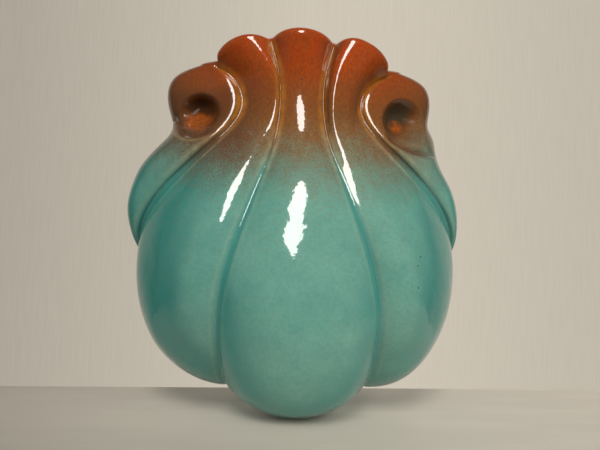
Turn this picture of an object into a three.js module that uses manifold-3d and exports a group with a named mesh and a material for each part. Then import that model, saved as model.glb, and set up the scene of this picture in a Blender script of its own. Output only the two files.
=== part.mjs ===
// Wall pocket vase: a five-lobed shell front with a volute at each shoulder, luted to a flat back slab.
// Millimetres. X runs across, Y into the wall and Z up.
// The origin is the middle of the face that lies on the wall.

import * as THREE from "three";
import { mergeVertices } from "three/addons/utils/BufferGeometryUtils.js";
import Module from "manifold-3d";

const wasm = await Module();
wasm.setup();

// Clay thicknesses
const WALL = 5; // shell wall
const SLAB = 5; // back slab
const SLIP = 0.3; // slip that joins the shell to the slab
const SEAM = SLAB + SLIP; // the shell begins this far out from the wall

// Back slab: arched top edge behind the mouth, and a hole that hangs on a nail
const SLAB_TOP_UP = 88;
const HOLE_RADIUS = 4;
const HOLE_UP = 64;

// Round bowl sunk into the face of each volute, part of a ball with its middle here
const BOWL_ACROSS = 56;
const BOWL_OUT = 32;
const BOWL_UP = 55;
const BOWL_RADIUS = 11.8;

// Both shoulders of the hand-finished front sit a little to the left, between the tip and this section
const SHOULDER_SWAY = 2;
const SWAY_ENDS = 8;

// How far a cut runs past the clay
const PASS = 10;

// Six curves of the right half, each with one point per section from the seam under the foot to the rim.
// Points are across, out from the wall, and up.

// Front of the centre lobe
const CREST = [
  [0, SEAM, -93], [0, 24, -99.8], [0, 45, -98], [0, 60, -83.5],
  [0, 67, -60], [0, 67.2, -35], [0, 61.5, -8], [0, 50, 15],
  [0, 39, 36], [0, 33, 55.5], [0, 32.2, 76], [0, 37.5, 98],
];

// Crease between the centre lobe and the inner lobe
const GROOVE = [
  [32, SEAM, -87.5], [34, 17, -89], [36, 31, -84], [37.6, 43.5, -70],
  [37.9, 51.5, -50], [34.6, 54, -27], [28, 51, -4.5], [20.8, 43.5, 16.5],
  [14.6, 34.5, 36], [11.8, 29, 54.5], [12.5, 28.3, 73], [18, 32.5, 92.3],
];

// Front of the inner lobe
const RIDGE = [
  [70, SEAM, -70], [73.5, 17, -67], [73, 30, -58.5], [70, 39.5, -44.5],
  [65, 45.5, -28], [57.5, 47, -9], [47, 43, 10], [36, 37.5, 27],
  [25.5, 33, 42], [19.3, 31.5, 56], [21, 32, 76], [34.5, 31.5, 92.5],
];

// Crease between the inner lobe and the outer lobe
const SIDE = [
  [86, SEAM, -17.5], [85.3, 7.5, -10.5], [82, 11.5, -1.5], [76, 15.8, 7],
  [68, 19.5, 15.5], [58, 22.5, 25], [47.5, 24.2, 35], [39, 24.2, 43.8],
  [33.5, 23.3, 53], [32, 22.5, 63], [37.5, 22.3, 74.5], [49, 21, 81.8],
];

// Front of the outer lobe, which curls into the volute
const CHEEK = [
  [86, SEAM, -17.5], [88.5, 9, -10], [88, 15, -1.5], [85.5, 20, 8],
  [80.5, 24.5, 18], [73.5, 28, 28], [64.5, 31, 38], [57, 33.5, 47.5],
  [52.5, 34.5, 56.5], [54, 34, 66], [54.5, 29.5, 77.5], [51.5, 14, 85],
];

// Outline of the outer lobe on the seam
const EDGE = [
  [86, SEAM, -17.5], [89.2, SEAM, -10], [91, SEAM, -1.5], [91.2, SEAM, 8],
  [89.5, SEAM, 18], [85.5, SEAM, 28.5], [80, SEAM, 38.5], [74, SEAM, 46.5],
  [71.2, SEAM, 54.5], [74, SEAM, 64.5], [70, SEAM, 76.5], [52, SEAM, 83.5],
];

// Steps along each curve and across each lobe, for the skin and for the pocket behind it
const SKIN = { rows: 44, centre: 12, inner: 9, outer: 9 };
const POCKET = { rows: 22, centre: 8, inner: 6, outer: 2 };

// A curve through its points; side -1 is the mirrored left half, and sway moves its middle to the left
function curve(points, side, sway = 0) {
  const at = points.map(([across, out, up], i) => {
    const lean = sway * Math.pow(Math.sin(Math.PI * Math.min(i / SWAY_ENDS, 1)), 2);
    return new THREE.Vector3(side * across - lean, -out, up);
  });
  return new THREE.CatmullRomCurve3(at);
}

// Row of points on the arch from one crease over the front of a lobe to the next crease
function arch(from, over, to, steps) {
  const middle = from.clone().add(to).multiplyScalar(0.5);
  const half = to.clone().sub(from).multiplyScalar(0.5);
  const lift = over.clone().sub(middle);
  const skew = lift.dot(half) / Math.max(half.lengthSq(), 1e-9);
  const rise = lift.clone().addScaledVector(half, -skew).length();
  const angle = Math.max(2 * Math.atan2(rise, half.length()), 0.01);
  return Array.from({ length: steps + 1 }, (_, i) => {
    const turn = angle * ((2 * i) / steps - 1);
    const along = Math.sin(turn) / Math.sin(angle);
    const lower = (Math.cos(turn) - Math.cos(angle)) / (1 - Math.cos(angle));
    return middle.clone().addScaledVector(half, along).addScaledVector(lift, lower);
  });
}

// Rows of points over the whole front, each from the left edge to the right edge.
// Without volutes, a curtain hangs straight back from the side crease to the seam instead.
function front(steps, withVolutes) {
  const [left, right] = [-1, 1].map((side) => ({
    groove: curve(GROOVE, side),
    ridge: curve(RIDGE, side),
    side: curve(SIDE, side),
    cheek: curve(CHEEK, side, SHOULDER_SWAY),
    edge: curve(EDGE, side, SHOULDER_SWAY),
  }));
  const crest = curve(CREST, 1);
  const outer = (half, t) => {
    const inside = half.side.getPoint(t);
    const foot = new THREE.Vector3(inside.x, -SEAM, inside.z);
    if (!withVolutes) return arch(inside, inside.clone().lerp(foot, 0.5), foot, steps.outer);
    return arch(inside, half.cheek.getPoint(t), half.edge.getPoint(t), steps.outer);
  };
  const inner = (half, t) =>
    arch(half.groove.getPoint(t), half.ridge.getPoint(t), half.side.getPoint(t), steps.inner);
  return Array.from({ length: steps.rows + 1 }, (_, i) => {
    const t = i / steps.rows;
    const centre = arch(left.groove.getPoint(t), crest.getPoint(t), right.groove.getPoint(t), steps.centre);
    return [
      ...outer(left, t).reverse().slice(0, -1),
      ...inner(left, t).reverse().slice(0, -1),
      ...centre.slice(0, -1),
      ...inner(right, t).slice(0, -1),
      ...outer(right, t),
    ];
  });
}

// Triangles of a grid of rows, facing out from the wall
function gridFaces(rows) {
  const faces = [];
  for (let i = 0; i + 1 < rows.length; i++) {
    for (let j = 0; j + 1 < rows[i].length; j++) {
      const [a, b, c, d] = [rows[i][j], rows[i][j + 1], rows[i + 1][j + 1], rows[i + 1][j]];
      faces.push([a, b, c], [a, c, d]);
    }
  }
  return faces;
}

// Triangles that close a flat loop, whose points are read as u and v by the given function
function capFaces(loop, flat) {
  return THREE.ShapeUtils.triangulateShape(loop.map(flat), []).map((ids) => ids.map((id) => loop[id]));
}

// Geometry of a list of triangles, with shared corners and no empty triangles
function geometryOf(faces) {
  const corners = new Float32Array(faces.flat().flatMap((point) => point.toArray()));
  const loose = new THREE.BufferGeometry();
  loose.setAttribute("position", new THREE.BufferAttribute(corners, 3));
  const joined = mergeVertices(loose, 1e-4);
  const kept = [];
  for (let i = 0; i < joined.index.count; i += 3) {
    const ids = [0, 1, 2].map((k) => joined.index.getX(i + k));
    if (new Set(ids).size === 3) kept.push(...ids);
  }
  joined.setIndex(kept);
  return joined;
}

// Solid of a closed geometry, and geometry of a solid
function solidOf(geometry) {
  const plain = mergeVertices(geometry.clone().deleteAttribute("normal").deleteAttribute("uv"), 1e-4);
  const vertProperties = new Float32Array(plain.getAttribute("position").array);
  const triVerts = new Uint32Array(plain.index.array);
  return new wasm.Manifold(new wasm.Mesh({ numProp: 3, vertProperties, triVerts }));
}

function geometryFrom(solid) {
  const mesh = solid.getMesh();
  const geometry = new THREE.BufferGeometry();
  geometry.setAttribute("position", new THREE.BufferAttribute(mesh.vertProperties, 3));
  geometry.setIndex(new THREE.BufferAttribute(mesh.triVerts, 1));
  const shaded = geometry.toNonIndexed();
  shaded.computeVertexNormals();
  return shaded;
}

// Arched line from the left volute to the right one, along the top of the slab
function topLine(steps, out) {
  const half = EDGE.at(-1)[0];
  const ends = EDGE.at(-1)[2];
  return Array.from({ length: steps + 1 }, (_, i) => {
    const share = (2 * i) / steps - 1;
    return new THREE.Vector3(share * half, -out, ends + (SLAB_TOP_UP - ends) * (1 - share * share));
  });
}

// Outline on the seam: round the bottom from left to right, up the right side and back along the top
function seamLoop(rows, top) {
  const last = rows[0].length - 1;
  const rightUp = rows.slice(1, -1).map((row) => row[last]);
  const leftDown = rows.slice(1, -1).map((row) => row[0]).reverse();
  const bottom = rows[0].filter((point, i, all) => i === 0 || point.distanceTo(all[i - 1]) > 1e-4);
  return [...bottom, ...rightUp, ...top.slice().reverse(), ...leftDown];
}

// Solid front, not yet hollow
function frontSolid() {
  const rows = front(SKIN, true);
  const rim = rows.at(-1);
  const top = topLine(rim.length - 1, SEAM);
  top[0].copy(rim[0]);
  top.at(-1).copy(rim.at(-1));
  const back = capFaces(seamLoop(rows, top), (point) => new THREE.Vector2(-point.x, point.z));
  return solidOf(geometryOf([...gridFaces([...rows, top]), ...back]));
}

// Moves a skin inwards by the wall thickness
function inward(rows, amount) {
  const last = rows[0].length - 1;
  return rows.map((row, i) =>
    row.map((point, j) => {
      const level = rows[Math.max(i, 1)];
      const across = level[Math.min(j + 1, last)].clone().sub(level[Math.max(j - 1, 0)]);
      const up = rows[Math.min(i + 1, rows.length - 1)][j].clone().sub(rows[Math.max(i - 1, 0)][j]);
      return point.clone().addScaledVector(across.cross(up).normalize(), -amount);
    }),
  );
}

// Hollow of the pocket, which runs out through the mouth and through the back
function pocketSolid() {
  const rows = inward(front(POCKET, false), WALL);
  const last = rows[0].length - 1;
  rows.forEach((row, i) =>
    row.forEach((point, j) => {
      if (i === 0 || j === 0 || j === last) point.y = PASS;
    }),
  );
  const mouth = rows.at(-1).map((point) => new THREE.Vector3(point.x, point.y, point.z + 4 * PASS));
  rows.push(mouth);
  const loop = seamLoop(rows, [mouth[0], mouth[last]]);
  const back = capFaces(loop, (point) => new THREE.Vector2(-point.x, point.z));
  const lid = capFaces(mouth, (point) => new THREE.Vector2(point.x, point.y));
  return solidOf(geometryOf([...gridFaces(rows), ...back, ...lid]));
}

// Ball that sinks the bowl of one volute
function bowlSolid(side) {
  const ball = new THREE.SphereGeometry(BOWL_RADIUS, 32, 20);
  return solidOf(ball.translate(side * BOWL_ACROSS, -BOWL_OUT, BOWL_UP));
}

// Back slab, cut to the outline of the shell
function slabGeometry() {
  const rows = front(SKIN, true);
  const top = topLine(rows[0].length - 1, SEAM);
  const outline = seamLoop(rows, top).map((point) => new THREE.Vector2(point.x, point.z));
  const shape = new THREE.Shape(outline);
  shape.holes.push(new THREE.Path().absarc(0, HOLE_UP, HOLE_RADIUS, 0, 2 * Math.PI));
  const slab = new THREE.ExtrudeGeometry(shape, { depth: SLAB, bevelEnabled: false, curveSegments: 24 });
  return slab.rotateX(Math.PI / 2);
}

// Pieces
function piece(name, geometry, colour) {
  const mesh = new THREE.Mesh(geometry, new THREE.MeshStandardMaterial({ color: colour, roughness: 0.2 }));
  mesh.name = name;
  return mesh;
}

const shell = frontSolid().subtract(pocketSolid()).subtract(bowlSolid(-1)).subtract(bowlSolid(1));

const vase = new THREE.Group();
vase.name = "wall_pocket_vase";
vase.add(piece("front_shell", geometryFrom(shell), 0x5f9c8c));
vase.add(piece("back_plate", slabGeometry(), 0xb98a5c));

export default vase;
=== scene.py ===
import math

import bmesh
import bpy
import numpy as np
from bpy.props import FloatProperty, FloatVectorProperty, IntProperty, PointerProperty
from mathutils import Matrix, Vector


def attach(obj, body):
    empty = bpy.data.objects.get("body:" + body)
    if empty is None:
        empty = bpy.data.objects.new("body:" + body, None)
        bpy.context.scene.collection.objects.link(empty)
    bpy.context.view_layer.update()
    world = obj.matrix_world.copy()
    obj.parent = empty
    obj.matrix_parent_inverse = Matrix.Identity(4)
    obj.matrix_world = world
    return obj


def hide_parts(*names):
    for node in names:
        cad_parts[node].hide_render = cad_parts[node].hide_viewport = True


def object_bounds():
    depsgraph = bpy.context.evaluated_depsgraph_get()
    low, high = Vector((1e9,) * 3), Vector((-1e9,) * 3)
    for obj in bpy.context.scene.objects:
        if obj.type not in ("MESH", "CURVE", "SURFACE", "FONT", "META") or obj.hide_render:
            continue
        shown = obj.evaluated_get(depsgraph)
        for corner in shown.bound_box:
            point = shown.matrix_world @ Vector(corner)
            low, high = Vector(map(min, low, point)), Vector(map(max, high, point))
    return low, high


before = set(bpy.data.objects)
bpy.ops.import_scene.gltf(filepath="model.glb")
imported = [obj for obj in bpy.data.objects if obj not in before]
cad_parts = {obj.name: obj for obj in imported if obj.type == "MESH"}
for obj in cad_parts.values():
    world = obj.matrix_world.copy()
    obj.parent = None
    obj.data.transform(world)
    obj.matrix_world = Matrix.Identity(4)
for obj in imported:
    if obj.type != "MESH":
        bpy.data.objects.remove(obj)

bl_info = {
    "name": "Wall Pocket Vase",
    "version": (1, 0, 0),
    "blender": (4, 5, 0),
    "location": "3D View > Sidebar > Vase",
    "description": "Builds a glazed shell-shaped wall pocket vase and the stage it stands on",
    "category": "Object",
}

CAD_BOX = [list(corner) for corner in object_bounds()]
MM = 0.001

# Five curves of the right half, in millimetres across, out from the wall and up: the centre lobe's crest, the
# groove beside it, the inner lobe's ridge, the crease at its outer side, and the outer lobe's edge on the seam.
# Each has one point per section, from the seam under the foot to the rim.
SEAM = 5.12
CREST = (
    (0, SEAM, -93), (0, 24, -99.6), (0, 45, -97.8), (0, 60.6, -83.5), (0, 68.6, -59.5), (0, 68.4, -35),
    (0, 61.2, -8), (0, 52.4, 15.2), (0, 40.1, 36.4), (0, 32.2, 55.9), (0, 31.5, 76.3), (0, 37.5, 100),
)
GROOVE = (
    (32, SEAM, -87.5), (34, 17, -89), (36, 31, -84), (37.6, 43.8, -70), (37.9, 52.8, -49.8), (34.6, 55.8, -26.9),
    (28, 53.3, -4.6), (20.8, 46.6, 16.3), (14.6, 36.4, 36), (11.9, 29.6, 55.6), (12.8, 27.0, 75.8), (18.2, 24.4, 98.4),
)
RIDGE = (
    (71, SEAM, -70.5), (74.6, 17, -67.2), (74, 30, -58.6), (70.6, 39.5, -44.5), (65.6, 45.9, -28), (58.2, 48, -9),
    (47.8, 45.7, 9.9), (36.6, 40.7, 27), (25.8, 35, 42.3), (21.1, 31.9, 56.1), (24.5, 30.85, 76.3), (38, 31.15, 95.2),
)
SIDE = (
    (87.2, SEAM, -20), (86.2, 7.5, -12.5), (82.5, 11.5, -2.5), (76, 15.8, 7), (68, 19.5, 15.5), (58, 22.5, 25),
    (47.5, 24.2, 35), (39, 24.0, 43.8), (33.5, 22.5, 53), (32, 20.5, 63), (37.5, 19, 74.3), (49.5, 18, 81.2),
)
EDGE = (
    (87.2, SEAM, -20), (90.4, SEAM, -12), (92.1, SEAM, -3), (92, SEAM, 7), (89, SEAM, 18), (83.6, SEAM, 28.5),
    (77.8, SEAM, 38.5), (74.4, SEAM, 46.5), (73, SEAM, 54.5), (74.9, SEAM, 65), (71.4, SEAM, 78.6), (53, SEAM, 86),
)
# How far the inner lobe fills out by the time it reaches the SIDE crease
RAISE = (0, 3, 5.2, 6.4, 7.2, 6.8, 6, 5, 4, 3.5, 2, 0.4)
# How far out the rounded edge of the outer lobes stands beside the SIDE crease, and how wide it is
STRIP_OUT = (SEAM, 11.6, 17.6, 22.8, 27.4, 31.4, 33, 31.4, 28.8, 26.0, 22.4, 18.4)
STRIP_WIDE = (0, 1.0, 2.0, 3.0, 3.6, 4.0, 4.0, 4.0, 4.2, 4.4, 4.2, 0.8)
# How far that edge stands proud of the lobe beside it, and over what width the lobe falls away
BEAD_HIGH, BEAD_WIDE = 1.5, 5.0
# The right half isn't quite the twin of the left: how far its curves lie further across, out and up;
# the left half has the opposite
TWIN = (0, 0, 0)
GROOVE_SKEW = (TWIN,) * 5 + (
    (0, -1.2, 0), (0, 0.1, 0), (0, 0.8, 0), (0, 1.1, 0), (0, 0.2, 0), (0, -0.4, 0), (0, -0.6, -0.6),
)
RIDGE_SKEW = (TWIN,) * 5 + (
    (-0.5, 0, 0), (-0.5, -1.1, 0), (-0.2, -0.7, 0), (0.3, 0.5, 0), (1.3, 1.9, 0), (2.0, 1.65, 0), (-0.6, 0.75, -0.7),
)
SIDE_SKEW = (TWIN,) * 10 + ((0.3, 0, -0.6), (0.8, 0, -1.2))
EDGE_SKEW = tuple((x, 0, 0) for x in (0, -0.3, -0.5, -0.5, -0.5, -1.2, 0.8, 2.6, 0.8, 0, 0, 0))
# Each volute in millimetres across and up: its bowl's middle, half width and half height, the bowl's deepest
# point, the middle, half width and half height of the floor patch that is painted lit, and the line along which its
# end tucks behind the shoulder
VOLUTES = {
    -1: {
        "bowl": (54.6, 54.0, 12.6, 12.0), "deepest": (53.4, 59.4), "floor": (55.2, 50.2, 10, 7.6),
        "tuck": ((69, 52), (66, 48), (63.6, 43.8), (59, 41.5), (54, 41.6), (49.6, 43.2), (46.4, 46)),
    },
    1: {
        "bowl": (56.4, 52.2, 13.4, 15.2), "deepest": (51.4, 57.6), "floor": (51.8, 51.4, 5.2, 5.6),
        "tuck": ((45.2, 47), (46.6, 43.6), (48.4, 41), (52.6, 38.4), (57.4, 36.6), (62.2, 35.3), (68, 34.2)),
    },
}
SECTIONS = len(CREST) - 1
# Section where the shoulders' sway ends, and how much of the last section the rounded lip takes up
SWAY_ENDS = 8
LIP_SECTIONS = 0.235
# How much more the inner lobe swells beside the centre groove on the right than on the left, halved
SWELL_SKEW = 0.11
# Reach in millimetres over which creases are rounded: at the neck, below it, and where glaze fills them
ROUND_NECK, ROUND_BELOW = 0.8, 1.1
FILL_NECK, FILL_BELOW = 2.0, 4.4
# Depth in millimetres of the crease where each volute tucks behind its shoulder, and the reach of that crease
TUCK_DEEP, TUCK_WIDE = 1.3, 1.7
TUCK_STEPS = 96
# The pocket's lining has one row for this many rows of the front
LINING_STEP = 4
# Radius in millimetres that rounds the slab's edge and the hole's mouth at the back, and the spacing along the edge
BACK_ROUND, MOUTH_ROUND = 1.5, 1.2
EDGE_SPACING = 1.1
# Box of the front as drawn with its lip, in millimetres; the drawn front is fitted to the frame's box
DRAWN_LOW = np.array((-94.39, -69.59, -100.26))
DRAWN_HIGH = np.array((90.63, -SEAM, 99.52))

# Stage: where the camera stands in metres and its turns in radians, where the front lamps point, the share of the
# fill that the left lamp has, and the colours of the lamps and of the dim surroundings
CAMERA_AT = (-0.01111, -0.2859, -0.02082)
CAMERA_YAW, CAMERA_PITCH, CAMERA_ROLL = 0.0465, 0.0612, 0.0228
LAMP_AIM = (0.0, -0.04, 0.0)
LEFT_SHARE = 0.53
LAMP_COLOUR = (1.0, 0.96, 0.9)
SURROUNDINGS = (0.1, 0.095, 0.087, 1.0)
# Metres: how far the floor reaches to the front and the sides, and where its far edge lies at the right and at the
# left, which levels the line it draws; the backdrop's half width, distance, low edge and high edge
FLOOR_REACH, FLOOR_RIGHT, FLOOR_LEFT = 1.5, 0.045, -0.005
DROP_HALF, DROP_AWAY, DROP_LOW, DROP_HIGH = 3.0, 0.9, -2.0, 2.5


def colour_prop(name, description, value):
    return FloatVectorProperty(
        name=name, description=description, subtype="COLOR", size=3, min=0.0, max=1.0, default=linear(value)
    )


def length_prop(name, description, value):
    return FloatProperty(name=name, description=description, unit="LENGTH", subtype="DISTANCE", default=value)


def linear(code):
    """Linear colour of an eight-bit red, green and blue."""
    shares = (part / 255 for part in code)
    return tuple(s / 12.92 if s <= 0.04045 else ((s + 0.055) / 1.055) ** 2.4 for s in shares)


class VaseSizes(bpy.types.PropertyGroup):
    wall: length_prop("Wall", "Thickness of the shell wall", 0.005)
    lip: length_prop("Lip", "Radius that rounds the outer edge of the rim", 0.0042)
    slab: length_prop("Slab", "Thickness of the back slab", 0.00512)
    slab_top: length_prop("Slab top", "Height of the slab's arched top above the middle of the back", 0.0864)
    hole_radius: length_prop("Hole radius", "Radius of the hole that hangs on a nail", 0.004)
    hole_up: length_prop("Hole height", "Height of the hanging hole above the middle of the back", 0.064)
    sway: length_prop("Sway", "How far both shoulders sit to the left", 0.002)
    bowl_depth: length_prop("Bowl depth", "Depth of the bowl sunk into each volute", 0.0082)
    rows: IntProperty(name="Rows", description="Rows of the front in each section", default=24, min=8, max=40)


class GlazeColours(bpy.types.PropertyGroup):
    turquoise: colour_prop("Turquoise", "Glaze of the lower lobes", (47, 139, 130))
    # Pale also carries painted light: the turquoise turns pale where it faces out and towards the right, besides its
    # thinner patches
    pale: colour_prop("Pale", "Thinner patches of the turquoise", (106, 164, 151))
    teal: colour_prop("Teal", "Glaze pooled in the lower grooves", (44, 128, 124))
    sage: colour_prop("Sage", "Thin glaze that breaks along the edges of the lower grooves", (136, 170, 146))
    moss: colour_prop("Moss", "First overlap of the two glazes", (120, 122, 97))
    umber: colour_prop("Umber", "Specks and the middle of the overlap", (122, 77, 36))
    rust: colour_prop("Rust", "Glaze of the rim and the volutes", (162, 63, 4))
    ember: colour_prop("Ember", "Deepest tone of the rust near the rim", (170, 59, 2))
    amber: colour_prop("Amber", "Thin rust glaze that breaks along the upper grooves", (170, 108, 34))
    # Bark is also painted shade: it darkens the rust on faces that turn away, towards the sides over the volutes and
    # in the bowls' shaded sides
    bark_and_shade: colour_prop("Bark", "Dark specks of the rust, and where it lies thick", (86, 50, 26))
    # Shade is the painted shadow in the bowls' shaded sides, and the colour of the pinholes
    shade: colour_prop("Shade", "Rust glaze pooled in the upper grooves and bowls", (44, 26, 14))
    # Pine is painted shadow too, in the right bowl's shaded side
    pine_shade: colour_prop("Pine", "Green that shows through in the right bowl", (38, 50, 40))
    # Glow is painted light on each bowl's floor
    painted_floor_light: colour_prop("Glow", "Bright floor of each bowl", (158, 78, 26))
    clay: colour_prop("Clay", "Bare clay of the back", (186, 152, 116))


class StageLook(bpy.types.PropertyGroup):
    wall: colour_prop("Backdrop", "Colour of the surroundings", (206, 197, 181))
    floor: colour_prop("Floor", "Colour of the floor", (226, 219, 207))
    lamp_power: FloatProperty(name="Lamp", description="Power of the main lamp", unit="POWER", default=5.6)
    fill_power: FloatProperty(
        name="Fill", description="Power of the soft lamp at the right; the left one has about half",
        unit="POWER", default=17.8,
    )
    back_power: FloatProperty(name="Back", description="Power of the lamp behind the vase", unit="POWER", default=4.0)
    lens: FloatProperty(name="Lens", description="Focal length of the camera in millimetres", default=30.0)


# Curves and rows


def spline(points, at):
    """Smooth curve through the points, at positions counted in points."""
    points = np.asarray(points, float)
    count = len(points)
    system = np.zeros((count, count))
    bends = np.zeros_like(points)
    system[0, 0] = system[-1, -1] = 1
    for i in range(1, count - 1):
        system[i, i - 1 : i + 2] = 1, 4, 1
        bends[i] = 6 * (points[i + 1] - 2 * points[i] + points[i - 1])
    bends = np.linalg.solve(system, bends)
    i = np.clip(at.astype(int), 0, count - 2)
    after = (at - i)[:, None]
    before = 1 - after
    straight = before * points[i] + after * points[i + 1]
    return straight + ((before**3 - before) * bends[i] + (after**3 - after) * bends[i + 1]) / 6


def lobe_curve(points, side, at, sway=0.0, skew=None):
    """One of the five curves on the right (1) or left (-1) half."""
    lean = sway * np.sin(np.pi * np.minimum(np.arange(len(points)) / SWAY_ENDS, 1)) ** 2
    if skew is not None:
        points = np.add(points, np.multiply(side, skew))
    placed = [(side * across - shift, -out, up) for (across, out, up), shift in zip(points, lean)]
    return spline(placed, at)


def fitted(points):
    """Drawn points moved into the frame's box; the seam stays where it is."""
    low, high = np.array(CAD_BOX) / MM
    high[1] = -SEAM
    return low + (points - DRAWN_LOW) * (high - low) / (DRAWN_HIGH - DRAWN_LOW)


def along_sections(values, at):
    """Smooth values between those given for each section."""
    return spline(np.stack([np.arange(len(values)), values], axis=1), at)[:, 1]


def arch(start, over, end, steps, full_start=0.0, full_end=0.0):
    """Rows of points from one crease over a lobe to the next; full swells the arch near an end."""
    middle, half = (start + end) / 2, (end - start) / 2
    lift = over - middle
    span = np.maximum((half**2).sum(1), 1e-9)
    skew = (lift * half).sum(1) / span
    rise = np.linalg.norm(lift - skew[:, None] * half, axis=1)
    angle = np.maximum(2 * np.arctan2(rise, np.sqrt(span)), 0.01)[:, None]
    turn = angle * np.linspace(-1, 1, steps + 1)
    along = np.sin(turn) / np.sin(angle)
    lower = np.clip((np.cos(turn) - np.cos(angle)) / (1 - np.cos(angle)), 0, 1)
    share = np.linspace(-1, 1, steps + 1)[None, :]
    full = np.where(share < 0, np.reshape(full_start, (-1, 1)), np.reshape(full_end, (-1, 1)))
    lower = 1 - (1 - lower) ** (1 + full)
    return middle[:, None] + half[:, None] * along[..., None] + lift[:, None] * lower[..., None]


def outer_lobe(side, edge, at, steps):
    """Rows of an outer lobe: a tight quarter-round up from the crease, then a long round to the seam."""
    up = steps // 3
    out = along_sections(STRIP_OUT, at)
    wide = along_sections(STRIP_WIDE, at)
    way = edge - side
    way[:, 1] = 0
    span = np.maximum(np.linalg.norm(way, axis=1), 1e-6)
    way /= span[:, None]
    wide = np.minimum(wide, 0.4 * span)
    rows = np.zeros((len(at), steps + 1, 3))
    for j in range(steps + 1):
        if j <= up:
            turn = j / up * math.pi / 2
            along = wide * (1 - math.cos(turn))
            depth = side[:, 1] + (-out - side[:, 1]) * math.sin(turn)
        else:
            turn = (j - up) / (steps - up) * math.pi / 2
            along = wide + (span - wide) * math.sin(turn) ** 0.9
            depth = edge[:, 1] + (-out - edge[:, 1]) * max(math.cos(turn), 0.0) ** 0.9
            bead = 1 - np.exp(-(((along - wide) / BEAD_WIDE) ** 2))
            depth += BEAD_HIGH * bead * np.minimum(span / 30, 1) * math.cos(turn)
        rows[:, j] = side + way * along[:, None]
        rows[:, j, 1] = depth
    return rows


def step(value, low, high):
    """Smooth step from 0 at low to 1 at high."""
    share = np.clip((value - low) / (high - low), 0, 1)
    return share * share * (3 - 2 * share)


def bell(value, width):
    """1 at 0, falling away to nothing over a few widths."""
    return np.exp(-((value / width) ** 2))


def sunk_share(across, up, bowl, deepest):
    """Depth of a bowl with an oval edge, as a share of its depth at its deepest point."""
    x, z, wide, tall = bowl
    start = np.array([(deepest[0] - x) / wide, (deepest[1] - z) / tall])
    way = np.stack([(across - deepest[0]) / wide, (up - deepest[1]) / tall], axis=-1)
    length = np.maximum((way**2).sum(-1), 1e-9)
    ahead = way @ start
    reach = (np.sqrt(ahead**2 + length * (1 - start @ start)) - ahead) / length
    return np.clip(1 - 1 / reach**2, 0, 1) ** 1.4


def soften(rows, reach):
    """Rounds the creases of each row over a reach in millimetres along the row."""
    out = rows.copy()
    for r, row in enumerate(rows):
        gaps = np.linalg.norm(np.diff(row, axis=0), axis=1)
        length = np.concatenate([[0], np.cumsum(gaps + 1e-7)])
        pitch = 0.3
        even = np.linspace(0, length[-1], int(length[-1] / pitch) + 2)
        pitch = even[1] - even[0]
        line = np.stack([np.interp(even, length, row[:, k]) for k in range(3)], axis=1)
        ends = int(4 * reach / pitch) + 1
        head = 2 * line[0] - line[ends:0:-1]
        tail = 2 * line[-1] - line[-2 : -ends - 2 : -1]
        long = np.concatenate([head, line, tail])
        kernel = np.exp(-0.5 * (np.arange(-ends, ends + 1) * pitch / reach) ** 2)
        kernel /= kernel.sum()
        for k in range(3):
            smooth = np.convolve(long[:, k], kernel, mode="valid")
            out[r, :, k] = np.interp(length, even, smooth)
    return out


def grid_normals(rows):
    """Unit normals of a grid of rows, facing away from the wall."""
    across = np.gradient(rows, axis=1)
    up = np.gradient(rows, axis=0)
    normals = np.cross(across, up)
    size = np.linalg.norm(normals, axis=2, keepdims=True)
    normals = normals / np.maximum(size, 1e-9)
    normals[(size < 1e-6)[..., 0]] = (0, -1, 0)
    return normals


def row_length(rows):
    """Length along each row up to each of its points."""
    gaps = np.linalg.norm(np.diff(rows, axis=1), axis=2)
    return np.concatenate([np.zeros((len(rows), 1)), np.cumsum(gaps, axis=1)], axis=1)


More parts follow.
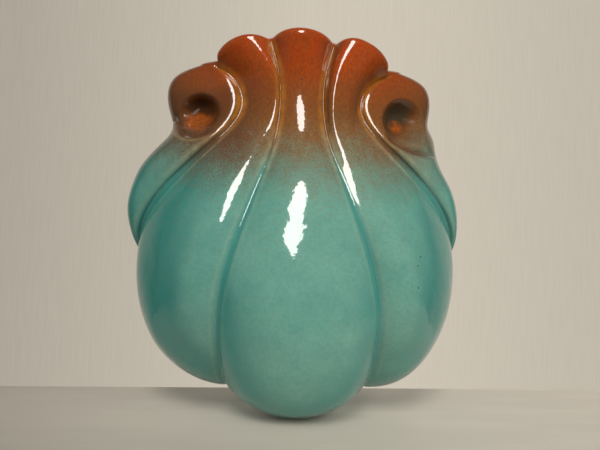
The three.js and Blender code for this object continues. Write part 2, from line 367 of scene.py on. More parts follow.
class Front:
    """The lobed front in millimetres: rows of points, and what the glaze needs to know about them."""

    # Columns of points across the centre lobe, an inner lobe and an outer lobe
    CENTRE, INNER, OUTER = 64, 52, 76

    def __init__(self, sizes):
        self.sizes = sizes
        self.wall = sizes.wall / MM
        count = SECTIONS * sizes.rows
        count -= count % LINING_STEP
        self.at = np.linspace(0, SECTIONS - LIP_SECTIONS, count + 1)
        self.side_left = self.OUTER
        self.groove_left = self.side_left + self.INNER
        self.groove_right = self.groove_left + self.CENTRE
        self.side_right = self.groove_right + self.INNER
        self.columns = self.side_right + self.OUTER + 1
        self.skin()
        self.grooves()
        self.volutes()
        self.points = fitted(self.points)

    def skin(self):
        """Rows of points over all five lobes, with the creases rounded and filled."""
        at, sway = self.at, self.sizes.sway / MM
        halves = {}
        for side in (-1, 1):
            halves[side] = [
                lobe_curve(GROOVE, side, at, skew=GROOVE_SKEW),
                lobe_curve(RIDGE, side, at, skew=RIDGE_SKEW),
                lobe_curve(SIDE, side, at, skew=SIDE_SKEW),
                lobe_curve(EDGE, side, at, sway, EDGE_SKEW),
            ]
        crest = lobe_curve(CREST, 1, at)
        swell = (0.67 + 0.24 * step(at, 6.0, 8.5)) * step(at, 2.5, 4.5) * (1 - 0.8 * step(at, 9.8, 11.0))
        lifted = along_sections(RAISE, at)[:, None] * np.clip(np.linspace(-1, 1, self.INNER + 1), 0, 1) ** 2

        # Left half from the seam inwards, with the centre lobe
        groove, ridge, side, edge = halves[-1]
        inner = arch(side, ridge, groove, self.INNER, 0.0, swell - SWELL_SKEW)
        inner[..., 1] -= lifted[:, ::-1]
        left = [
            outer_lobe(inner[:, 0], edge, at, self.OUTER)[:, :0:-1],
            inner[:, :-1],
            arch(groove, crest, halves[1][0], self.CENTRE)[:, :-1],
        ]

        # Right half from the centre lobe outwards
        groove, ridge, side, edge = halves[1]
        inner = arch(groove, ridge, side, self.INNER, swell + SWELL_SKEW, 0.0)
        inner[..., 1] -= lifted
        right = [inner[:, :-1], outer_lobe(inner[:, -1], edge, at, self.OUTER)]
        sharp = np.concatenate(left + right, axis=1)

        # Creases: rounded finely at the neck and broadly below it, then filled
        fine = soften(sharp, ROUND_NECK)
        broad = soften(sharp, ROUND_BELOW)
        share = np.tile((1 - step(at, 6.0, 8.5))[:, None], (1, self.columns))
        column = np.arange(self.columns)
        near_side = np.minimum(abs(column - self.side_left), abs(column - self.side_right)) < self.INNER / 2
        share[:, near_side] = 0.3 + 0.7 * share[:, near_side]
        self.points = fine + (broad - fine) * share[..., None]
        filled = soften(sharp, FILL_BELOW)[..., 1]
        round_in = (1 - step(at, 6.5, 9.0))[:, None] * near_side
        self.points[..., 1] += round_in * np.minimum(filled - self.points[..., 1], 0)
        filled = soften(sharp, FILL_NECK)[..., 1]
        self.points[..., 1] += step(at, 5.0, 7.0)[:, None] * np.minimum(filled - self.points[..., 1], 0)

    def grooves(self):
        """Sinks the grooves, and notes where glaze pools in them and where it breaks along their edges."""
        at = self.at[:, None]
        length = row_length(self.points)
        normals = grid_normals(self.points)
        apart = lambda column: abs(length - length[:, column : column + 1])
        centre = np.minimum(apart(self.groove_left), apart(self.groove_right))
        outer = np.minimum(apart(self.side_left), apart(self.side_right))
        low = 1 - step(at, 5.5, 8.5)
        width = 0.7 + 0.7 * low
        depth = (0.3 + 0.6 * low) * step(at, 0.0, 1.2)
        side_width = 0.8 + 1.5 * low
        side_depth = (0.3 + 0.4 * low) * step(at, 0.3, 1.5)
        sunk = depth * bell(centre, width) + side_depth * bell(outer, side_width)
        self.points = self.points - normals * sunk[..., None]
        self.points[0, :, 1] = -SEAM
        self.points[:, [0, -1], 1] = -SEAM
        self.pool = np.maximum(bell(centre, 0.9 * width), 0.65 * bell(outer, 0.9 * side_width))
        lower = bell(centre - 2.1 * width, 0.75 * width) + 0.8 * bell(outer - 2.2 * side_width, 0.9 * side_width)
        upper = np.maximum(1 - step(centre, 1.2, 4.4), 0.9 * (1 - step(outer, 1.5, 5.5)))
        self.rims = np.clip(low * lower + (1 - low) * upper, 0, 1)

    def volutes(self):
        """Sinks the bowl of each volute, tucks the volute's end behind the shoulder, and notes where painted shade and
        painted light go in the bowls and the tuck creases.
        """
        self.bowl = np.zeros(self.points.shape[:2])
        self.hollow = np.zeros(self.points.shape[:2])
        self.floor = np.zeros(self.points.shape[:2])
        normals = grid_normals(self.points)
        for side, columns in ((-1, slice(0, self.side_left)), (1, slice(self.side_right + 1, None))):
            made = VOLUTES[side]
            part = self.points[:, columns]
            across, up = side * part[..., 0], part[..., 2]
            face = step(-part[..., 1], 7, 16)

            # The bowl, the side of it that gets painted shadow, and the floor patch that gets painted light
            bowl = sunk_share(across, up, made["bowl"], made["deepest"]) * face
            x, z, wide, tall = made["bowl"]
            way = np.array([(made["deepest"][0] - x) / wide, (made["deepest"][1] - z) / tall])
            towards = (across - x) / wide * way[0] + (up - z) / tall * way[1]
            hollow = bowl**0.45 * step(towards / np.linalg.norm(way), -0.4, 0.35)
            x, z, wide, tall = made["floor"]
            floor = np.clip(1 - ((across - x) / wide) ** 2 - ((up - z) / tall) ** 2, 0, 1)

            # The crease along the line where the volute's end tucks behind the shoulder
            tuck = spline(made["tuck"], np.linspace(0, len(made["tuck"]) - 1.001, TUCK_STEPS))
            flat = np.stack([across, up], axis=-1)
            gap = np.linalg.norm(flat[..., None, :] - tuck, axis=-1)
            nearest = gap.argmin(-1)
            place = nearest / (TUCK_STEPS - 1)
            fade = step(place, 0.0, 0.2) if side > 0 else 1 - step(place, 0.8, 1.0)
            fade = fade * step(self.at, 5.2, 6.0)[:, None]
            near = gap.min(-1)
            crease = bell(near, TUCK_WIDE) * fade
            over = up - tuck[nearest, 1]
            tucked = step(over, -0.6, 1.0) * bell(np.maximum(over, 0), 4.5) * step(8 - near, 0, 6) * fade

            moved = part - normals[:, columns] * (TUCK_DEEP * crease)[..., None]
            moved[..., 1] += self.sizes.bowl_depth / MM * bowl + TUCK_DEEP * tucked
            moved[..., 1] = np.minimum(moved[..., 1], -SEAM)
            self.points[:, columns] = moved
            self.bowl[:, columns] = bowl
            self.hollow[:, columns] = hollow
            self.floor[:, columns] = floor * face
            # Painted shadow: the tuck crease, and on the left the lifted end above it, take the dark pooled colours
            under = crease if side > 0 else np.maximum(crease, 0.8 * tucked)
            self.pool[:, columns] = np.maximum(self.pool[:, columns], under)
            lip = bell(near - 3.2, 0.7) * step(-over, 0.5, 2.0) * fade
            self.rims[:, columns] = np.maximum(self.rims[:, columns], 0.6 * lip)
        self.points[:, [0, -1], 1] = -SEAM

    def lining(self):
        """Inner face of the pocket, on fewer rows than the front."""
        rows = self.base_rows()
        normals = grid_normals(rows)
        inner = rows - normals * self.wall
        inner[..., 1] = np.minimum(inner[..., 1], -SEAM - 0.02)
        inner[0, :, 1] = -SEAM
        inner[:, [0, -1], 1] = -SEAM
        return inner

    def base_rows(self):
        """Rows that the lining follows; behind the outer lobes they run straight in from the crease to the seam."""
        rows = self.points[::LINING_STEP].copy()
        for columns, crease in ((np.arange(self.side_left), self.side_left),
                                (np.arange(self.side_right + 1, self.columns), self.side_right)):
            start = rows[:, crease]
            end = start.copy()
            end[:, 1] = -SEAM
            share = abs(columns - crease) / self.OUTER
            rows[:, columns] = start[:, None] + (end - start)[:, None] * share[None, :, None]
        return rows

    def outline(self):
        """Closed outline on the seam: under the foot, up the right, along the slab's top and down the left."""
        bottom = self.points[0]
        right = self.points[1:, -1]
        left = self.points[1:, 0][::-1]
        share = np.linspace(1, -1, 90)[1:-1]
        top = np.zeros((len(share), 3))
        ends = (right[-1] + left[0]) / 2
        top[:, 0] = ends[0] + share * (right[-1, 0] - left[0, 0]) / 2
        top[:, 1] = -SEAM
        top[:, 2] = ends[2] + (self.sizes.slab_top / MM - ends[2]) * (1 - share**2)
        return np.concatenate([bottom, right, top, left])


# Meshes


def linked_object(name, mesh, material):
    """Object of a mesh with one material, linked to the scene."""
    mesh.materials.append(material)
    obj = bpy.data.objects.new(name, mesh)
    bpy.context.scene.collection.objects.link(obj)
    return obj


def mesh_object(name, points, faces, values, material):
    """Object of the given points in millimetres, with doubled points joined and empty faces left out."""
    _, first, place = np.unique(np.round(points, 4), axis=0, return_index=True, return_inverse=True)
    place = place.ravel()
    kept = []
    for face in faces:
        ring = [place[corner] for corner in face]
        ring = [corner for i, corner in enumerate(ring) if corner != ring[i - 1]]
        if len(set(ring)) > 2:
            kept.append(ring)
    mesh = bpy.data.meshes.new(name)
    mesh.from_pydata((points[first] * MM).tolist(), [], kept)
    for label, numbers in values.items():
        layer = mesh.attributes.new(label, "FLOAT", "POINT")
        layer.data.foreach_set("value", np.asarray(numbers, np.float32)[first])
    mesh.validate()
    mesh.shade_smooth()
    return linked_object(name, mesh, material)


def outward(obj):
    """Turns every face of a closed piece outwards."""
    work = bmesh.new()
    work.from_mesh(obj.data)
    bmesh.ops.recalc_face_normals(work, faces=work.faces)
    work.to_mesh(obj.data)
    work.free()


def front_object(sizes, material):
    """Front with its lobed skin, rounded lip and pocket, as one closed piece."""
    front = Front(sizes)
    skin, inner = front.points, front.lining()
    rows, columns = skin.shape[:2]

    # The lip rises along the skin over the pocket, and straight up and lower over the volutes
    rise = skin[-1] - skin[-3]
    rise = rise / np.linalg.norm(rise, axis=1, keepdims=True)
    column = np.arange(columns)
    over_wall = np.minimum(column - front.side_left, front.side_right - column)
    share = step(over_wall.astype(float), -6, 10)[:, None]
    rise = rise * share + np.array((0, 0, 1.0)) * (1 - share)
    rise = rise / np.linalg.norm(rise, axis=1, keepdims=True)
    round_out = sizes.lip / MM
    round_in = front.wall - round_out
    # Inset and height of each row of the lip: a large round outside, then a small one inside
    profile = [(round_out * (1 - math.cos(a)), round_out * math.sin(a)) for a in np.linspace(0, math.pi / 2, 9)[1:]]
    profile += [
        (round_out + round_in * math.sin(a), round_out - round_in * (1 - math.cos(a)))
        for a in np.linspace(0, math.pi / 2, 4)[1:]
    ]
    across = inner[-1] - skin[-1]
    scale = (0.55 + 0.45 * share) * np.ones((columns, 1))
    lip = np.stack([skin[-1] + across * (inset / front.wall) + rise * up * scale for inset, up in profile])
    lip[:, [0, -1], 1] = -SEAM

    # Faces between the rows, under the foot, and along the seam at both edges
    points = np.concatenate([skin.reshape(-1, 3), lip.reshape(-1, 3), inner[::-1].reshape(-1, 3)])
    total = rows + len(lip) + len(inner)
    index = np.arange(total * columns).reshape(total, columns)
    quads = np.stack([index[:-1, :-1], index[:-1, 1:], index[1:, 1:], index[1:, :-1]], axis=-1)
    faces = quads.reshape(-1, 4).tolist()
    faces += [[index[0, j + 1], index[0, j], index[-1, j], index[-1, j + 1]] for j in range(columns - 1)]
    last = total - 1
    for edge in (0, columns - 1):
        for k in range(len(inner) - 1):
            low = [index[LINING_STEP * k + i, edge] for i in range(LINING_STEP + 1)]
            faces.append(low + [index[last - k - 1, edge], index[last - k, edge]])
        faces.append([index[r, edge] for r in range(rows - 1, rows + len(lip) + 1)])

    # What the glaze needs to know at each point; the lip and the lining have none of it but a fixed share for how far
    # they face out. How far each point faces out sets where painted light pales the turquoise and painted shade
    # darkens the rust.
    blank = np.zeros((total - rows) * columns)
    known = {"pool": front.pool, "rims": front.rims, "bowl": front.bowl, "hollow": front.hollow, "floor": front.floor}
    values = {name: np.concatenate([numbers.ravel(), blank]) for name, numbers in known.items()}
    crown = np.clip(-grid_normals(skin)[..., 1], 0, 1)
    values["crown"] = np.concatenate([crown.ravel(), blank + 0.85])
    obj = mesh_object("glazed_shell", points, faces, values, material)
    outward(obj)
    return obj


def even_loop(loop, spacing):
    """Closed loop with even spacing."""
    closed = np.concatenate([loop, loop[:1]])
    gaps = np.linalg.norm(np.diff(closed, axis=0), axis=1)
    keep = np.concatenate([[True], gaps > 1e-5])
    closed = closed[keep]
    length = np.concatenate([[0], np.cumsum(np.linalg.norm(np.diff(closed, axis=0), axis=1))])
    count = int(length[-1] / spacing)
    even = np.linspace(0, length[-1], count, endpoint=False)
    return np.stack([np.interp(even, length, closed[:, k]) for k in range(closed.shape[1])], axis=1)


def inset_loop(loop, amount):
    """Loop moved inwards in its plane; the loop runs counter-clockwise."""
    ahead, behind = np.roll(loop, -3, axis=0), np.roll(loop, 3, axis=0)
    along = ahead - behind
    along /= np.linalg.norm(along, axis=1, keepdims=True)
    return loop + amount * np.stack([-along[:, 1], along[:, 0]], axis=1)


def rounded(radius, turns):
    """Inset and depth along a rounded edge, at turns from its side to its face."""
    return [(radius - radius * math.cos(a), radius - radius * math.sin(a)) for a in turns]


def back_object(sizes, material):
    """Back slab with a rounded edge and a hanging hole."""
    front = Front(sizes)
    loop = even_loop(front.outline()[:, [0, 2]], EDGE_SPACING)
    slab = sizes.slab / MM
    work = bmesh.new()

    def ring(flat, depth):
        return [work.verts.new((x * MM, -depth * MM, z * MM)) for x, z in flat]

    def skin(rings):
        for one, two in zip(rings, rings[1:]):
            for i in range(len(one)):
                work.faces.new((one[i - 1], one[i], two[i], two[i - 1]))

    def edges(one):
        return [work.edges.get((one[i - 1], one[i])) for i in range(len(one))]

    # Inset and depth of each loop, from the seam's side over the edge to the back
    profile = [(2.6, slab), (0.8, slab), (0.25, slab - 0.12), (0, slab - 0.5), (0, BACK_ROUND)]
    profile += rounded(BACK_ROUND, (0.4, 0.8, 1.2, math.pi / 2)) + [(3.4, 0)]
    outer = [ring(inset_loop(loop, inset), depth) for inset, depth in profile]
    skin(outer)
    radius, up = sizes.hole_radius / MM, sizes.hole_up / MM
    turns = np.linspace(0, 2 * np.pi, 48, endpoint=False)
    mouth = [(1.6, slab), (0.9, slab), (0.27, slab - 0.27), (0, slab - 0.9), (0, MOUTH_ROUND)]
    mouth += rounded(MOUTH_ROUND, (0.5, 1.0, math.pi / 2)) + [(2.4, 0)]
    hole = []
    for grow, depth in mouth:
        wide = radius + grow
        hole.append(ring([(wide * math.cos(a), up + wide * math.sin(a)) for a in turns], depth))
    skin(hole)
    for one, two in ((outer[0], hole[0]), (outer[-1], hole[-1])):
        bmesh.ops.triangle_fill(work, use_beauty=True, edges=edges(one) + edges(two))
    bmesh.ops.recalc_face_normals(work, faces=work.faces)
    mesh = bpy.data.meshes.new("glazed_back")
    work.to_mesh(mesh)
    work.free()
    mesh.shade_smooth()
    return linked_object("glazed_back", mesh, material)


# Materials


class Nodes:
    """A material's node tree, with short calls for the nodes used here."""

    def __init__(self, name):
        self.material = bpy.data.materials.new(name)
        self.material.use_nodes = True
        self.tree = self.material.node_tree
        self.shader = self.tree.nodes["Principled BSDF"]

    def add(self, kind, settings=None, inputs=None):
        node = self.tree.nodes.new("ShaderNode" + kind)
        for key, value in (settings or {}).items():
            setattr(node, key, value)
        for key, value in (inputs or {}).items():
            self.put(node.inputs[key], value)
        return node

    def put(self, socket, value):
        if isinstance(value, bpy.types.NodeSocket):
            self.tree.links.new(value, socket)
        elif socket.type == "RGBA":
            socket.default_value = (*tuple(value)[:3], 1.0)
        else:
            socket.default_value = value

    def finish(self, inputs):
        """The material, with the given inputs of its shader set or linked."""
        for key, value in inputs.items():
            self.put(self.shader.inputs[key], value)
        return self.material

    def where(self):
        return self.add("TexCoord").outputs["Object"]

    def axis(self, vector, name):
        return self.add("SeparateXYZ", None, {0: vector}).outputs[name]

    def sum(self, kind, one, two=0.0, three=0.0):
        return self.add("Math", {"operation": kind}, {0: one, 1: two, 2: three}).outputs[0]

    def times(self, one, *others):
        for other in others:
            one = self.sum("MULTIPLY", one, other)
        return one

    def level(self, value, low, high, to_low=0.0, to_high=1.0, kind="LINEAR"):
        """Value mapped from low and high to two others, and held beyond them."""
        inputs = {"Value": value, "From Min": low, "From Max": high, "To Min": to_low, "To Max": to_high}
        return self.add("MapRange", {"interpolation_type": kind}, inputs).outputs["Result"]

    def ease(self, value, low, high, to_low=0.0, to_high=1.0):
        """Same as level, with soft ends."""
        return self.level(value, low, high, to_low, to_high, "SMOOTHSTEP")

    def blend(self, share, one, two):
        return self.add("Mix", {"data_type": "RGBA"}, {0: share, 6: one, 7: two}).outputs[2]

    def noise(self, where, scale, detail=2.0, rough=0.5):
        inputs = {"Vector": where, "Scale": scale, "Detail": detail, "Roughness": rough}
        return self.add("TexNoise", None, inputs).outputs["Fac"]

    def value_of(self, name):
        return self.add("Attribute", {"attribute_name": name}).outputs["Fac"]

    def stretched(self, where, scale):
        return self.add("VectorMath", {"operation": "MULTIPLY"}, {0: where, 1: scale}).outputs[0]

    def moved(self, where, way):
        return self.add("VectorMath", {"operation": "ADD"}, {0: where, 1: way}).outputs[0]

    def length(self, vector):
        return self.add("VectorMath", {"operation": "LENGTH"}, {0: vector}).outputs["Value"]

    def ramp(self, share, stops):
        node = self.add("ValToRGB", None, {"Fac": share})
        bar = node.color_ramp
        while len(bar.elements) < len(stops):
            bar.elements.new(0.5)
        for stop, (place, colour) in zip(bar.elements, stops):
            stop.position = place
            stop.color = (*colour, 1.0)
        return node.outputs["Color"]

    def bump(self, height, strength, distance, normal=None):
        inputs = {"Height": height, "Strength": strength, "Distance": distance}
        if normal is not None:
            inputs["Normal"] = normal
        return self.add("Bump", None, inputs).outputs["Normal"]


def two_glazes(nodes, where, colours):
    """Turquoise below, rust sprayed over it from the rim, and a speckled overlap between, with painted light and
    painted shade set by facing and side.
    """
    across, height = nodes.axis(where, "X"), nodes.axis(where, "Z")
    aside = nodes.sum("ABSOLUTE", across)
    crown = nodes.value_of("crown")
    cloud = nodes.noise(where, 42.0, 3.0, 0.55)
    runs = nodes.noise(nodes.stretched(where, (1.0, 1.0, 0.3)), 260.0, 3.0, 0.6)
    speck = nodes.noise(nodes.stretched(where, (1.0, 1.0, 0.7)), 1700.0, 2.0, 0.6)

    # Share of rust: it rises with height, wanders and runs, and starts higher on the shoulders
    drift = nodes.sum("MULTIPLY_ADD", cloud, 0.016, -0.008)
    run = nodes.sum("MULTIPLY_ADD", runs, 0.012, -0.006)
    start = nodes.sum("ADD", nodes.sum("ADD", height, drift), run)
    start = nodes.sum("SUBTRACT", start, nodes.ease(aside, 0.046, 0.078, 0.0, 0.012))
    share = nodes.level(start, 0.002, 0.085)
    middle = nodes.times(share, nodes.sum("SUBTRACT", 1.0, share))
    grain = nodes.times(nodes.sum("SUBTRACT", speck, 0.5), nodes.sum("MULTIPLY_ADD", middle, 1.4, 0.3))
    sprayed = nodes.sum("ADD", share, grain)

    # Turquoise: painted light makes it paler where it faces out and towards the right; its own patches, grain and
    # brown dust come on top
    lit_and_thin = nodes.sum("MULTIPLY_ADD", across, 2.6, nodes.ease(crown, 0.66, 0.95, 0.0, 0.88))
    lit_and_thin = nodes.sum("MULTIPLY_ADD", nodes.ease(cloud, 0.42, 0.7), 0.2, lit_and_thin)
    sea = nodes.blend(lit_and_thin, colours.turquoise, colours.pale)
    sea = nodes.blend(nodes.ease(nodes.noise(where, 90.0), 0.35, 0.75, 0.0, 0.25), sea, colours.teal)
    sea = nodes.blend(nodes.ease(nodes.noise(where, 620.0, 3.0, 0.6), 0.35, 0.7, 0.0, 0.22), sea, colours.teal)
    dust = nodes.times(
        nodes.ease(nodes.noise(where, 1200.0, 2.0, 0.6), 0.5, 0.68),
        nodes.ease(height, -0.06, 0.03, 0.06, 0.6), nodes.ease(aside, 0.05, 0.08, 1.0, 0.2),
    )
    sea = nodes.blend(dust, sea, colours.moss)

    # Rust: redder towards the rim, with runs and mottling
    stops = [
        (0.0, colours.moss), (0.2, colours.moss), (0.6, colours.umber), (0.9, colours.rust), (1.0, colours.ember),
    ]
    earth = nodes.ramp(nodes.sum("MULTIPLY_ADD", grain, 0.6, share), stops)
    earth = nodes.blend(nodes.ease(runs, 0.3, 0.7, 0.0, 0.35), earth, colours.umber)
    mottle = nodes.noise(nodes.stretched(where, (1.0, 1.0, 0.6)), 950.0, 3.0, 0.7)
    earth = nodes.blend(nodes.ease(mottle, 0.34, 0.5, 0.2, 0.0), earth, colours.amber)

    # The rust darkens to bark in the mottling, where it lies thick. Painted shade darkens it on faces that turn away,
    # on the left neck lobe's outer part, and towards both sides over the volutes, more on the left; a band around the
    # neck is darker too.
    left_neck_shade = nodes.times(nodes.ease(across, -0.034, -0.014, 0.8, 0.0), nodes.ease(height, 0.062, 0.075, 1.0, 0.2))
    left = nodes.sum("MAXIMUM", left_neck_shade, nodes.ease(across, -0.048, -0.036, 0.5, 0.0))
    for darker in (
        nodes.ease(mottle, 0.46, 0.7, 0.0, 0.42),
        nodes.ease(crown, 0.55, 1.0, 0.6, 0.0),
        nodes.times(nodes.ease(height, 0.044, 0.056, 0.0, 0.16), nodes.ease(height, 0.066, 0.078, 1.0, 0.0)),
        nodes.sum("ADD", left, nodes.ease(across, 0.036, 0.052, 0.0, 0.28)),
    ):
        earth = nodes.blend(darker, earth, colours.bark_and_shade)
    return nodes.blend(nodes.ease(sprayed, -0.12, 0.5), sea, earth), speck, cloud


def front_glaze(colours):
    """Glossy glaze of the front: it pools in the grooves and breaks along their edges; painted shadow darkens the
    bowls' shaded sides and the tuck creases, and painted light brightens the bowls' floors.
    """
    nodes = Nodes("front_glaze")
    where = nodes.where()
    across, height = nodes.axis(where, "X"), nodes.axis(where, "Z")
    colour, _, cloud = two_glazes(nodes, where, colours)

    broken = nodes.blend(nodes.ease(height, 0.016, 0.052), colours.sage, colours.amber)
    ragged = nodes.ease(nodes.noise(where, 220.0), 0.25, 0.7, 0.35, 1.0)
    rims = nodes.times(nodes.value_of("rims"), ragged, nodes.ease(height, 0.01, 0.03, 0.35, 0.75))
    colour = nodes.blend(rims, colour, broken)
    # Glaze pooled in the grooves, teal low down and bark higher; the same colours darken the tuck creases as painted
    # shadow
    pooled = nodes.blend(nodes.ease(height, 0.018, 0.036), colours.teal, colours.bark_and_shade)
    pool = nodes.times(nodes.value_of("pool"), nodes.ease(height, 0.03, 0.06, 0.8, 0.5))
    colour = nodes.blend(pool, colour, pooled)

    # Painted shadow on the shaded side of each bowl: dark brown on the left, dark green on the right
    hollow = nodes.value_of("hollow")
    bowl_shadow_colour = nodes.blend(nodes.ease(across, 0.02, 0.04), colours.shade, colours.pine_shade)
    colour = nodes.blend(nodes.ease(hollow, 0.05, 0.5, 0.0, 0.7), colour, colours.bark_and_shade)
    colour = nodes.blend(nodes.ease(hollow, 0.35, 0.9, 0.0, 0.7), colour, bowl_shadow_colour)
    # Painted light: each bowl's floor is brightened, in lumps
    lumps = nodes.ease(nodes.noise(where, 330.0), 0.3, 0.65, 0.25, 1.0)
    floor = nodes.ease(nodes.value_of("floor"), 0.0, 1.0, 0.0, 0.85)
    colour = nodes.blend(nodes.times(floor, lumps), colour, colours.painted_floor_light)

    cells = nodes.add("TexVoronoi", {"feature": "F1"}, {"Vector": where, "Scale": 120.0})
    rare = nodes.ease(nodes.axis(cells.outputs["Color"], "X"), 0.68, 0.72)
    pinholes = nodes.times(nodes.ease(cells.outputs["Distance"], 0.035, 0.07, 1.0, 0.0), rare)
    colour = nodes.blend(nodes.times(pinholes, 0.8), colour, colours.shade)

    normal = nodes.bump(nodes.noise(nodes.moved(where, (0.021, 0.0, 0.013)), 34.0, 1.0), 0.5, 0.0018)
    normal = nodes.bump(nodes.noise(where, 210.0), 0.55, 0.0002, normal)
    normal = nodes.bump(pinholes, 0.5, 0.0002, normal)
    return nodes.finish({
        "Base Color": colour,
        "Roughness": nodes.ease(cloud, 0.2, 0.8, 0.2, 0.26),
        "Specular IOR Level": 0.08,
        "IOR": 1.5,
        "Coat Weight": nodes.ease(nodes.value_of("bowl"), 0.34, 0.42, 1.0, 0.03),
        "Coat Roughness": 0.045,
        "Coat IOR": 1.6,
        "Normal": normal,
        "Coat Normal": normal,
    })


def back_glaze(colours):
    """Bare clay in the middle of the back, with the glaze lapping over its edge."""
    nodes = Nodes("back_glaze")
    where = nodes.where()
    colour, speck, _ = two_glazes(nodes, where, colours)
    facing = nodes.axis(nodes.add("NewGeometry").outputs["Normal"], "Y")
    from_middle = nodes.length(nodes.stretched(where, (11.4, 0.0, 10.4)))
    lapped = nodes.sum("MULTIPLY_ADD", nodes.noise(where, 55.0, 5.0, 0.65), 0.5, from_middle)
    bare = nodes.times(nodes.ease(facing, 0.9, 0.999), nodes.ease(lapped, 1.1, 1.16, 1.0, 0.0))
    clay = nodes.blend(nodes.ease(speck, 0.4, 0.75, 0.0, 0.35), colours.clay, colours.umber)
    return nodes.finish({
        "Base Color": nodes.blend(bare, colour, clay),
        "Roughness": nodes.sum("MULTIPLY_ADD", bare, 0.6, 0.15),
        "IOR": 1.55,
        "Normal": nodes.bump(nodes.noise(where, 120.0, 4.0), 0.3, 0.0006),
    })


def floor_paint(colour):
    """Pale floor that falls into the dark away from the vase."""
    nodes = Nodes("pale_floor")
    where = nodes.where()
    grain = nodes.noise(nodes.stretched(where, (1.0, 6.0, 1.0)), 14.0, 4.0)
    far = nodes.length(nodes.stretched(nodes.moved(where, (-0.1, 0.0, 0.0)), (0.6, 1.0, 0.0)))
    # Painted shade: the floor is darker towards the left and towards the front; its grain is its own, and far from the
    # vase it falls into the dark
    tone = nodes.times(
        nodes.ease(grain, 0.3, 0.7, 0.94, 1.0),
        nodes.ease(far, 0.06, 0.32, 1.0, 0.06),
        nodes.level(nodes.axis(where, "X"), -0.12, 0.12, 0.87, 1.0),
        nodes.level(nodes.axis(where, "Y"), -0.07, 0.03, 0.82, 1.0),
    )
    return nodes.finish({"Base Color": nodes.blend(tone, (0.0, 0.0, 0.0), colour), "Roughness": 0.6})


def backdrop_paint(colour):
    """Pale wall whose tone doesn't depend on the lamps."""
    nodes = Nodes("pale_backdrop")
    where = nodes.where()
    across = nodes.axis(where, "X")
    weave = nodes.noise(nodes.stretched(where, (1.0, 1.0, 0.04)), 240.0)
    # Painted shade: the wall is darker towards the left and towards the far right; far out at the sides it fades, and
    # the weave is its own
    tone = nodes.times(
        nodes.level(across, -0.64, 0.05, 0.68, 1.0),
        nodes.level(across, 0.257, 0.727, 1.0, 0.87),
        nodes.ease(nodes.sum("ABSOLUTE", across), 0.8, 3.0, 1.0, 0.08),
        nodes.ease(weave, 0.2, 0.8, 0.97, 1.03),
    )
    path = nodes.add("LightPath")
    seen = nodes.sum("MAXIMUM", path.outputs["Is Camera Ray"], path.outputs["Is Glossy Ray"])
    seen = nodes.sum("MAXIMUM", seen, path.outputs["Is Transmission Ray"])
    return nodes.finish({
        "Base Color": (0.0, 0.0, 0.0),
        "Emission Color": colour,
        "Emission Strength": nodes.times(seen, tone),
        "Specular IOR Level": 0.0,
        "Roughness": 0.9,
    })


# Operators


class VASE_OT_front_shell(bpy.types.Operator):
    """Build the lobed front with its lip, pocket and volutes"""

    bl_idname = "vase.front_shell"
    bl_label = "Front Shell"

    def execute(self, context):
        piece = front_object(context.scene.vase_sizes, front_glaze(context.scene.vase_colours))
        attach(piece, "root")
        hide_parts("front_shell")
        return {"FINISHED"}


class VASE_OT_back_plate(bpy.types.Operator):
    """Build the flat back with its hanging hole"""

    bl_idname = "vase.back_plate"
    bl_label = "Back Plate"

    def execute(self, context):
        piece = back_object(context.scene.vase_sizes, back_glaze(context.scene.vase_colours))
        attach(piece, "root")
        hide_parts("back_plate")
        return {"FINISHED"}


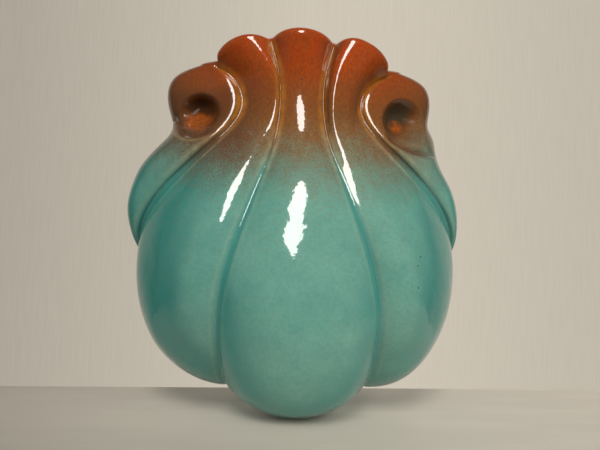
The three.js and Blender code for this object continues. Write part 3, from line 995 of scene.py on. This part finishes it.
class VASE_OT_stage(bpy.types.Operator):
    """Set up the camera, the lamps and the floor"""

    bl_idname = "vase.stage"
    bl_label = "Stage"

    def execute(self, context):
        scene, look = context.scene, context.scene.vase_stage
        scene.view_settings.view_transform = "Standard"
        self.camera(scene, look)
        self.floor(look)
        self.light(scene, look)
        return {"FINISHED"}

    def camera(self, scene, look):
        """Camera at its place, turned by yaw, pitch and roll."""
        data = bpy.data.cameras.new("camera")
        data.lens = look.lens
        data.sensor_width = 36.0
        data.clip_start = 0.01
        camera = bpy.data.objects.new("camera", data)
        yaw, pitch, roll = CAMERA_YAW, CAMERA_PITCH, CAMERA_ROLL
        ahead = Vector((math.sin(yaw) * math.cos(pitch), math.cos(yaw) * math.cos(pitch), math.sin(pitch)))
        right = Vector((math.cos(yaw), -math.sin(yaw), 0.0))
        up = right.cross(ahead)
        turned = right * math.cos(roll) + up * math.sin(roll)
        up = up * math.cos(roll) - right * math.sin(roll)
        turn = Matrix((turned, up, -ahead)).transposed().to_4x4()
        camera.matrix_world = Matrix.Translation(CAMERA_AT) @ turn
        scene.collection.objects.link(camera)
        scene.camera = camera

    def floor(self, look):
        """Floor under the vase and backdrop behind it."""
        low, far = CAD_BOX[0][2], FLOOR_REACH
        corners = [(-far, -far, low), (far, -far, low), (far, FLOOR_RIGHT, low), (-far, FLOOR_LEFT, low)]
        self.plane("floor", corners, floor_paint(tuple(look.floor)))
        half, away = DROP_HALF, DROP_AWAY
        corners = [(-half, away, DROP_LOW), (half, away, DROP_LOW), (half, away, DROP_HIGH), (-half, away, DROP_HIGH)]
        self.plane("backdrop", corners, backdrop_paint(tuple(look.wall)))

    def plane(self, name, corners, material):
        """One flat face of the stage."""
        mesh = bpy.data.meshes.new(name)
        mesh.from_pydata(corners, [], [(0, 1, 2, 3)])
        plane = linked_object(name, mesh, material)

    def light(self, scene, look):
        """Dim surroundings, the main lamp, two soft fills and a lamp behind the vase."""
        world = bpy.data.worlds.new("surroundings")
        world.use_nodes = True
        background = world.node_tree.nodes["Background"]
        background.inputs["Color"].default_value = SURROUNDINGS
        background.inputs["Strength"].default_value = 1.0
        scene.world = world
        main = self.lamp(
            scene, "main_lamp", look.lamp_power, (0.27, 0.6), LAMP_AIM, turn=-4.0, rise=45.6, away=1.0, roll=3.0
        )
        main.data.shape = "ELLIPSE"
        for name, share, turn, rise in (("right_fill", 1.0, 45.0, 20.0), ("left_fill", LEFT_SHARE, -60.0, 15.0)):
            fill = self.lamp(scene, name, share * look.fill_power, (1.2, 1.2), LAMP_AIM, turn, rise, away=1.6)
            fill.visible_glossy = False
        behind = self.lamp(
            scene, "back_lamp", look.back_power, (0.5, 0.5), (0.0, 0.0, 0.0), turn=180.0, rise=3.0, away=0.8
        )
        behind.visible_glossy = behind.visible_camera = False

    def lamp(self, scene, name, power, size, aim, turn, rise, away, roll=0.0):
        """Lamp that points at aim from a turn and a rise in degrees, some metres away."""
        data = bpy.data.lights.new(name, "AREA")
        data.shape = "RECTANGLE"
        data.size, data.size_y = size
        data.energy = power
        data.color = LAMP_COLOUR
        lamp = bpy.data.objects.new(name, data)
        turn, rise = math.radians(turn), math.radians(rise)
        way = Vector((math.sin(turn) * math.cos(rise), -math.cos(turn) * math.cos(rise), math.sin(rise)))
        spin = Matrix.Rotation(math.radians(roll), 4, way)
        facing = (-way).to_track_quat("-Z", "Y").to_matrix().to_4x4()
        lamp.matrix_world = Matrix.Translation(Vector(aim) + way * away) @ spin @ facing
        scene.collection.objects.link(lamp)
        return lamp


class VASE_PT_panel(bpy.types.Panel):
    """Lists the pieces of the vase and their settings"""

    bl_idname = "VASE_PT_panel"
    bl_label = "Wall Pocket Vase"
    bl_space_type = "VIEW_3D"
    bl_region_type = "UI"
    bl_category = "Vase"

    def draw(self, context):
        for operator in (VASE_OT_front_shell, VASE_OT_back_plate, VASE_OT_stage):
            self.layout.operator(operator.bl_idname)
        for group in (context.scene.vase_sizes, context.scene.vase_colours, context.scene.vase_stage):
            box = self.layout.box()
            for name in group.__annotations__:
                box.prop(group, name)


CLASSES = (
    VaseSizes, GlazeColours, StageLook, VASE_OT_front_shell, VASE_OT_back_plate, VASE_OT_stage, VASE_PT_panel,
)


def register():
    for each in CLASSES:
        bpy.utils.register_class(each)
    bpy.types.Scene.vase_sizes = PointerProperty(type=VaseSizes)
    bpy.types.Scene.vase_colours = PointerProperty(type=GlazeColours)
    bpy.types.Scene.vase_stage = PointerProperty(type=StageLook)


def unregister():
    del bpy.types.Scene.vase_stage
    del bpy.types.Scene.vase_colours
    del bpy.types.Scene.vase_sizes
    for each in reversed(CLASSES):
        bpy.utils.unregister_class(each)


def main():
    register()
    bpy.ops.vase.stage()
    bpy.ops.vase.front_shell()
    bpy.ops.vase.back_plate()
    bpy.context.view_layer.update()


if __name__ == "__main__":
    main()
